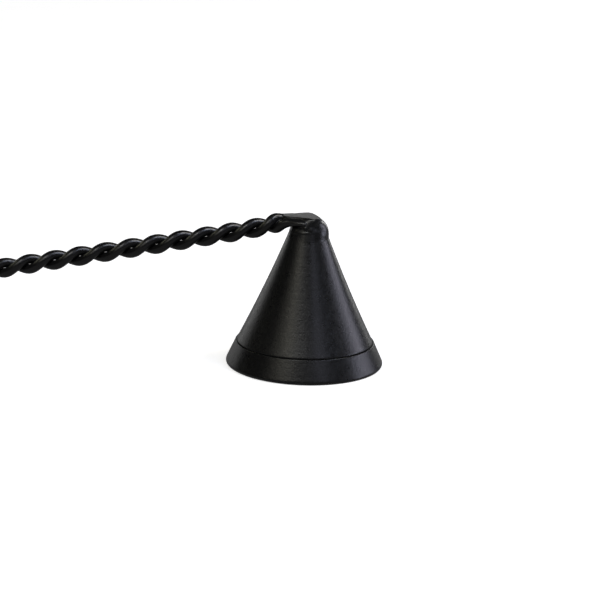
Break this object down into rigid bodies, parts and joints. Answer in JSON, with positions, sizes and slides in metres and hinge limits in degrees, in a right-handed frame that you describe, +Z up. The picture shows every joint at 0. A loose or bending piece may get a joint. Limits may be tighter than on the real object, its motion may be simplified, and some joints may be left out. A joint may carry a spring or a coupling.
{
  "type": "candle snuffer",
  "caption": "Candle snuffer: hollow conical bell with a rim band, welded under the flattened end of a long twisted-wire handle that ends in a hanging eye.",
  "frame": {"origin": "centre of the bell's open mouth, on the plane that the rim stands on", "axes": "+Z up along the bell's axis, from its mouth to its crown; the handle leaves along -X"},
  "size_m": [0.2089, 0.0398, 0.039],
  "materials": {
    "black_powder_coat": "matte black powder coat"
  },
  "bodies": {
    "root": {"bell_shell": "black_powder_coat", "rim_band": "black_powder_coat", "handle_wire": "black_powder_coat", "weld_bead": "black_powder_coat"}
  },
  "joints": []
}
